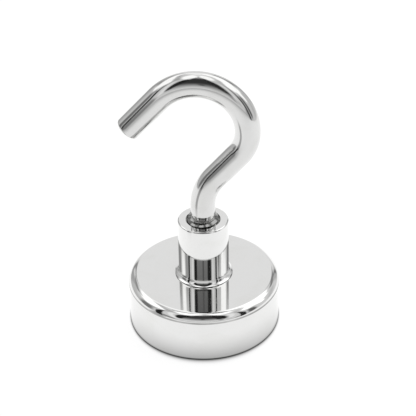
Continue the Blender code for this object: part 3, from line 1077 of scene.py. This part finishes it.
def tent_material():
    """The bare tent by bearing and height, and the cards laid over it."""
    material = bpy.data.materials.new("tent wall")
    material.use_nodes = True
    tree = material.node_tree
    tree.nodes.clear()
    out = tree.nodes.new("ShaderNodeOutputMaterial")
    way = vector_node(tree, "NORMALIZE", tree.nodes.new("ShaderNodeTexCoord").outputs["Object"])
    across, back, up = split_place(tree, way)
    forward = math_node(tree, "MULTIPLY", back, -1.0)
    bearing = math_node(tree, "DEGREES", math_node(tree, "ARCTAN2", across, forward))
    height = math_node(tree, "DEGREES", math_node(tree, "ARCSINE", up))
    place = tree.nodes.new("ShaderNodeCombineXYZ")
    tree.links.new(bearing, place.inputs["X"])
    tree.links.new(height, place.inputs["Y"])

    # bright cloth, a little greyer at the sides, open to a dark room above its front edge
    away = math_node(tree, "ABSOLUTE", bearing)
    sides = smooth_band(tree, away, 25.0, 50.0, 0.90, 0.72)
    behind = smooth_band(tree, away, 140.0, 168.0, 0.0, 0.16)
    cloth = math_node(tree, "ADD", sides, behind)
    opening = math_node(
        tree,
        "MULTIPLY",
        smooth_band(tree, away, 30.0, 42.0, 1.0, 0.0),
        smooth_band(tree, height, -3.0, 50.0, 0.0, 1.0),
    )
    level = mix_level(tree, opening, cloth, DARK_ROOM)
    for brightness, near, far, near_half, far_half, softness in CARDS:
        cover = use_group(
            tree,
            CARD,
            Place=place.outputs[0],
            From=(*near, 0.0),
            To=(*far, 0.0),
            Near_half_width=near_half,
            Far_half_width=far_half,
            Softness=softness,
        )
        level = mix_level(tree, cover, level, brightness)
    glow = tree.nodes.new("ShaderNodeEmission")
    tree.links.new(level, glow.inputs["Strength"])
    tree.links.new(glow.outputs[0], out.inputs["Surface"])
    return material


clear_selection()
bpy.ops.mesh.primitive_uv_sphere_add(
    segments=96,
    ring_count=48,
    radius=TENT_RADIUS,
    location=(0.0, 0.0, TENT_MIDDLE),
    rotation=(0.0, 0.0, CAMERA_BEARING),
)
tent = bpy.context.object
tent.name = "light_tent"
tent.data.materials.append(tent_material())
tent.visible_camera = False
print(len(CARDS), "cards in a tent", round(2 * TENT_RADIUS / MM), "mm across")

# %% The world outside the tent
world = bpy.data.worlds.new("white world")
bpy.context.scene.world = world
world.use_nodes = True
outside = world.node_tree.nodes["Background"]
outside.inputs["Color"].default_value = (1.0, 1.0, 1.0, 1.0)
outside.inputs["Strength"].default_value = 1.0
print("world", world.name)

# %% [markdown]
# ## The floor
#
# The hook stands on a white sheet that fills the picture. To the camera the sheet is white,
# with only a trace of the pot's shadow on it, partly the paper's own shadow and partly painted.
# In the plate's reflections it has a painted shadow round the pot's foot, deepest in front where
# no light comes from, and painted shade towards the tent's front edge. Plain paper would do all
# of this by itself, but in a mirror its grain of render noise shows, so the reflected sheet glows
# by its distance and bearing instead.
#
# From below the sheet is clear, so that the magnet's face can be looked at too. It lies a hair
# under that face, because two surfaces in one place would flicker.

# %% The sheet's brightness, seen and mirrored
POT_FOOT = 10.0 * MM  # the pot's radius on the sheet
SEEN_WHITE = 1.18
SHADOW_REACH = 4.5 * MM
FRONT_WAY = (-0.342, -0.94, 0.0)
POLE_WAY = (-0.875, -0.485, 0.0)
UNDER_POT = 0.6


def nearness(tree, reach, touching, free):
    """1 where the pot touches the sheet, falling to 0 at a distance."""
    left = math_node(tree, "SUBTRACT", free, reach)
    return math_node(tree, "DIVIDE", left, free - touching, clamp=True)


def seen_level(tree, reach, ahead):
    """The sheet as the camera sees it: white, with a painted trace of the pot's shadow, widest in
    front.
    """
    width = math_node(tree, "MULTIPLY_ADD", math_node(tree, "POWER", ahead, 2.0), 1.1 * MM, 0.35 * MM)
    touch = math_node(tree, "DIVIDE", math_node(tree, "SUBTRACT", reach, POT_FOOT), width, clamp=True)
    # the painted contact shadow, strongest where the pot touches the sheet
    contact = math_node(tree, "POWER", math_node(tree, "SUBTRACT", 1.0, touch), 3.5)
    return math_node(tree, "MULTIPLY_ADD", contact, -SEEN_WHITE, SEEN_WHITE)


def mirrored_level(tree, place, reach, ahead):
    """The sheet as the plate mirrors it: painted shade round the foot, and greyer to the front by
    painted shade.
    """
    lit = math_node(tree, "MULTIPLY_ADD", ahead, -0.07, 1.07)
    closeness = nearness(tree, reach, POT_FOOT, POT_FOOT + SHADOW_REACH)
    depth = math_node(tree, "MULTIPLY_ADD", ahead, 0.52, 0.05)
    shadow = math_node(tree, "MULTIPLY", math_node(tree, "POWER", closeness, 1.6), depth)
    front = vector_node(tree, "DOT_PRODUCT", place, FRONT_WAY)
    along = math_node(tree, "DIVIDE", vector_node(tree, "DOT_PRODUCT", place, POLE_WAY), reach)
    # the left pole's painted shadow on the sheet, as the plate mirrors it
    painted_pole_shadow = math_node(
        tree,
        "MULTIPLY",
        smooth_band(tree, along, 0.978, 0.992, 0.0, 0.55),
        smooth_band(tree, reach, 22.0 * MM, 34.0 * MM),
    )
    level = math_node(tree, "SUBTRACT", lit, shadow)
    for painted_floor_shade in (
        # painted shade towards the tent's front edge, and far off on every side
        smooth_band(tree, front, 35.0 * MM, 160.0 * MM, 0.0, 0.42),
        smooth_band(tree, reach, 120.0 * MM, 450.0 * MM, 0.0, 0.42),
        # painted shadow where the pot meets the sheet, and where the left pole does
        math_node(tree, "MULTIPLY", nearness(tree, reach, POT_FOOT, POT_FOOT + 0.35 * MM), 0.35),
        painted_pole_shadow,
    ):
        level = math_node(tree, "SUBTRACT", level, painted_floor_shade)
    # an even painted shade under the pot, which only the magnet's face and the rim can mirror
    under = smooth_band(tree, reach, 9.0 * MM, 9.6 * MM, 1.0, 0.0)
    return mix_level(tree, under, level, UNDER_POT)


# %% The sheet
FLOOR_HALF = 600.0 * MM
SHEET_DROP = 0.02 * MM
PAPER = (0.9, 0.9, 0.9, 1.0)
GLOW_SHARE = 0.75


def mix_shaders(tree, share, first, second):
    """Mix two shaders by a share."""
    node = tree.nodes.new("ShaderNodeMixShader")
    tree.links.new(share, node.inputs["Fac"])
    tree.links.new(first, node.inputs[1])
    tree.links.new(second, node.inputs[2])
    return node.outputs[0]


def sheet_material():
    """White paper: nearly shadowless to the camera, with painted shade by its place in reflections."""
    material = bpy.data.materials.new("white sheet")
    material.use_nodes = True
    tree = material.node_tree
    tree.nodes.clear()
    out = tree.nodes.new("ShaderNodeOutputMaterial")
    place = tree.nodes.new("ShaderNodeTexCoord").outputs["Object"]
    reach = vector_node(tree, "LENGTH", place)
    forward = math_node(tree, "MULTIPLY", split_place(tree, place)[1], -1.0)
    ahead = math_node(tree, "DIVIDE", forward, reach)

    paper = tree.nodes.new("ShaderNodeBsdfDiffuse")
    paper.inputs["Color"].default_value = PAPER
    white = tree.nodes.new("ShaderNodeEmission")
    feed(tree, seen_level(tree, reach, ahead), white.inputs["Strength"])
    mirrored = tree.nodes.new("ShaderNodeEmission")
    feed(tree, mirrored_level(tree, place, reach, ahead), mirrored.inputs["Strength"])
    clear = tree.nodes.new("ShaderNodeBsdfTransparent")

    ray = tree.nodes.new("ShaderNodeLightPath")
    whiteness = math_node(tree, "MULTIPLY", ray.outputs["Is Camera Ray"], GLOW_SHARE)
    seen = mix_shaders(tree, whiteness, paper.outputs[0], white.outputs[0])
    above = mix_shaders(tree, ray.outputs["Is Glossy Ray"], seen, mirrored.outputs[0])
    below = tree.nodes.new("ShaderNodeNewGeometry").outputs["Backfacing"]
    tree.links.new(mix_shaders(tree, below, above, clear.outputs[0]), out.inputs["Surface"])
    return material


clear_selection()
bpy.ops.mesh.primitive_plane_add(
    size=2.0 * FLOOR_HALF,
    location=(0.0, 0.0, -SHEET_DROP),
    rotation=(0.0, 0.0, CAMERA_BEARING),
)
floor = bpy.context.object
floor.name = "white_sheet"
floor.data.materials.append(sheet_material())
print("floor", round(2 * FLOOR_HALF, 2), "m across")
